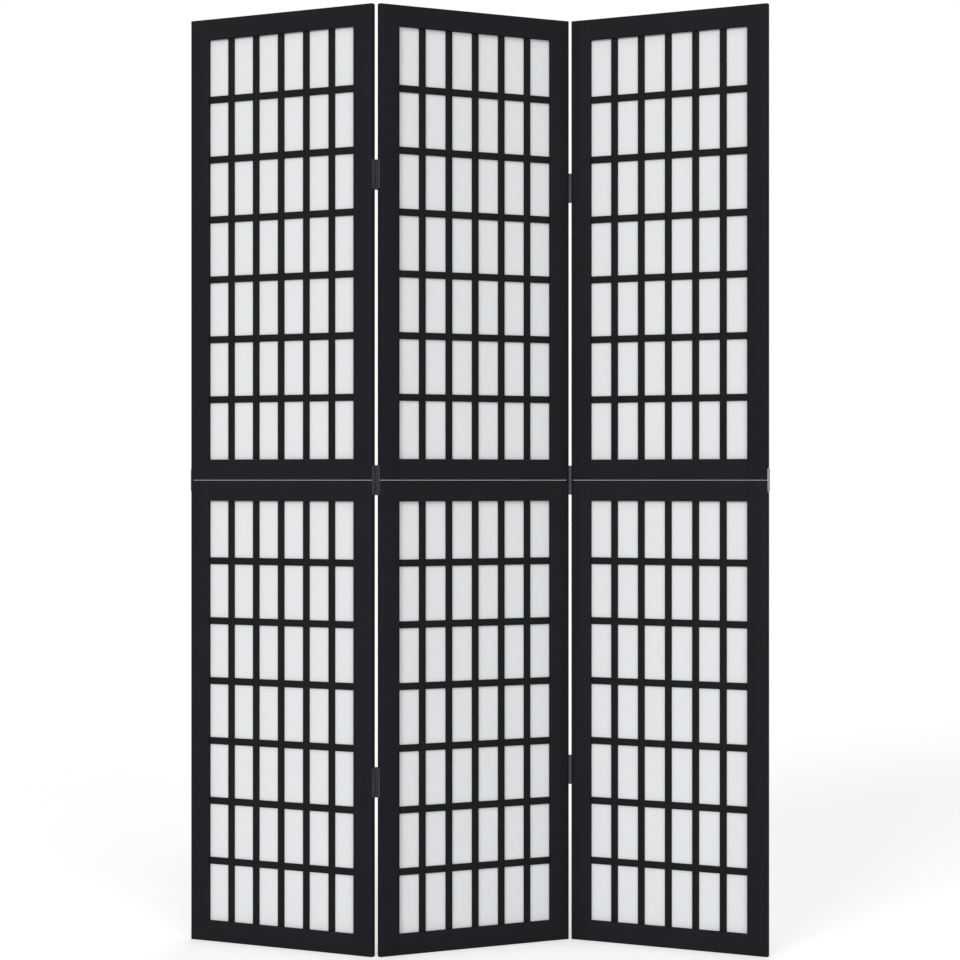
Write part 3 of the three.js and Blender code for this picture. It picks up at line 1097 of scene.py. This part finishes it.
half_width, half_height = PLATE_WIDTH / 2, PLATE_HEIGHT / 2
plate = block(
    "plate", (0, -half_width, -half_height), (PLATE_THICKNESS, half_width, half_height)
)
ease(plate, half_width - 0.01, 16, lambda middle, direction: abs(direction.x) > 0.99)
ease(
    plate, 0.2, 3,
    lambda middle, direction: abs(direction.x) < 0.01 and near(middle.x, PLATE_THICKNESS),
)
face_out = Matrix.Rotation(math.pi / 2, 4, "Y")
for side in (-1, 1):
    seat_at = Vector((PLATE_THICKNESS, 0, side * PLATE_SCREW_SPACING / 2))
    countersink(plate, Matrix.Translation(seat_at * MM) @ face_out, 0.6, 3.6)
smooth(plate, 30)

# %% Copy the plates and their screws to the two free edges
EDGES = {"left": (0, math.pi), "right": (PANEL_WIDTH, 0)}

for side, (x, turn) in EDGES.items():
    facing = Matrix.Rotation(turn, 4, "Z")
    outward = facing @ Vector((1, 0, 0))
    seat_at = Vector((x, THICKNESS / 2, PANEL_HEIGHT / 2)) + outward * PLATE_SEAT
    on_edge = PLACES[side] @ Matrix.Translation(seat_at * MM) @ facing
    name = f"{side}_edge_tie_plate"
    tie = copy_of(plate, name + "_look")
    carry(tie, on_edge)
    stand_in(tie, name, side, zinc)
    for end, up in (("lower", -1), ("upper", 1)):
        name = f"{side}_edge_{end}_plate_screw"
        fixing = copy_of(screw, name + "_look")
        head_at = Vector((PLATE_THICKNESS, 0, up * PLATE_SCREW_SPACING / 2)) * MM
        tilt = Matrix.Rotation(math.radians(25 + 40 * up), 4, "Z")
        carry(fixing, on_edge @ Matrix.Translation(head_at) @ face_out @ tilt)
        stand_in(fixing, name, side, zinc)

for model in (plate, screw):
    bpy.data.objects.remove(model)
worst = max(misfits, key=misfits.get)
print("largest misfit", round(misfits[worst], 3), "mm at", worst)

# %% [markdown]
# ## Floor and light
#
# The background of the picture is plain white. The floor is a pale sheet that keeps the screen's
# shadow, and a little glow that only the camera sees lifts it to the white round it. The world is
# white to the camera and gives an even light to everything else. Four soft suns add direction,
# alike from the screen's top to its foot: the main one from the left, so that the two panels that
# face left are a little lighter than the middle one, a steep one that shades the paper under the
# top rails, a weaker one from the right, and one behind, so that the back can be judged too.

# %% Lay the floor
FLOOR_SIZE = 24
FLOOR_GLOW = 0.36

bpy.ops.object.select_all(action="DESELECT")
bpy.ops.mesh.primitive_plane_add(size=FLOOR_SIZE)
floor_sheet = settle("floor")
floor_material, tree, surface = new_material("pale studio floor")
surface.inputs["Base Color"].default_value = linear("#f5f5f5")
surface.inputs["Roughness"].default_value = 0.9
surface.inputs["Specular IOR Level"].default_value = 0.1
glow = node(tree, "ShaderNodeEmission", Color=(1, 1, 1, 1), Strength=FLOOR_GLOW)
lifted = node(
    tree, "ShaderNodeAddShader", _0=surface.outputs["BSDF"], _1=glow.outputs["Emission"]
)
to_camera = node(
    tree, "ShaderNodeMixShader",
    Fac=node(tree, "ShaderNodeLightPath").outputs["Is Camera Ray"],
    _1=surface.outputs["BSDF"], _2=lifted.outputs["Shader"],
)
show(tree, to_camera.outputs["Shader"])
floor_sheet.data.materials.append(floor_material)

# %% Light the world
AMBIENT = 0.38

world = bpy.data.worlds.new("studio")
world.use_nodes = True
bpy.context.scene.world = world
tree = world.node_tree
tree.nodes.clear()
ambient = node(tree, "ShaderNodeBackground", Color=(1, 1, 1, 1), Strength=AMBIENT)
white = node(tree, "ShaderNodeBackground", Color=(1, 1, 1, 1), Strength=1)
both = node(
    tree, "ShaderNodeMixShader",
    Fac=node(tree, "ShaderNodeLightPath").outputs["Is Camera Ray"],
    _1=ambient.outputs["Background"], _2=white.outputs["Background"],
)
node(tree, "ShaderNodeOutputWorld", Surface=both.outputs["Shader"])


# %% Set the suns
def sun(name, azimuth, height, strength, softness):
    """A soft sun. Azimuth is counted from the camera's side towards the right, in degrees."""
    light = bpy.data.lights.new(name, "SUN")
    light.energy = strength
    light.angle = math.radians(softness)
    hung = bpy.data.objects.new(name, light)
    turn, rise = math.radians(azimuth), math.radians(height)
    towards = Vector(
        (math.sin(turn) * math.cos(rise), -math.cos(turn) * math.cos(rise), math.sin(rise))
    )
    hung.rotation_euler = towards.to_track_quat("Z", "Y").to_euler()
    bpy.context.scene.collection.objects.link(hung)


sun("main light", -30, 22, 1.13, 25)
sun("steep light", 15, 55, 0.31, 20)
sun("fill light", 25, 12, 0.53, 30)
sun("back light", 170, 25, 0.63, 40)
